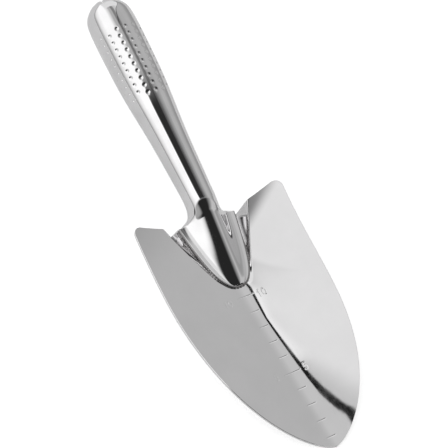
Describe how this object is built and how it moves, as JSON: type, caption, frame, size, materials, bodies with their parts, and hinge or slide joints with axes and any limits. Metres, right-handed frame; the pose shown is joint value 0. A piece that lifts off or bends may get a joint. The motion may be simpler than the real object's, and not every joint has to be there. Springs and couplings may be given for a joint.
{
  "type": "hand trowel",
  "caption": "Hand trowel with a dished pointed sheet blade, stamped with a depth scale, and a hollow tapered tube handle opened out into a welded tang.",
  "frame": {"origin": "under the middle of the bounding box, on the plane that the blade's back rests on", "axes": "+Y from the blade's tip to the handle's end, +Z out of the blade's hollow side, X across the blade"},
  "size_m": [0.095, 0.2832, 0.0503],
  "materials": {
    "blade_steel": "mirror-polished stainless steel sheet",
    "handle_steel": "mirror-polished stainless steel tube",
    "weld_steel": "ground and polished weld"
  },
  "bodies": {
    "root": {"blade": "blade_steel", "handle_tube": "handle_steel", "tang_weld_bead": "weld_steel", "handle_seam_weld": "weld_steel"}
  },
  "joints": []
}
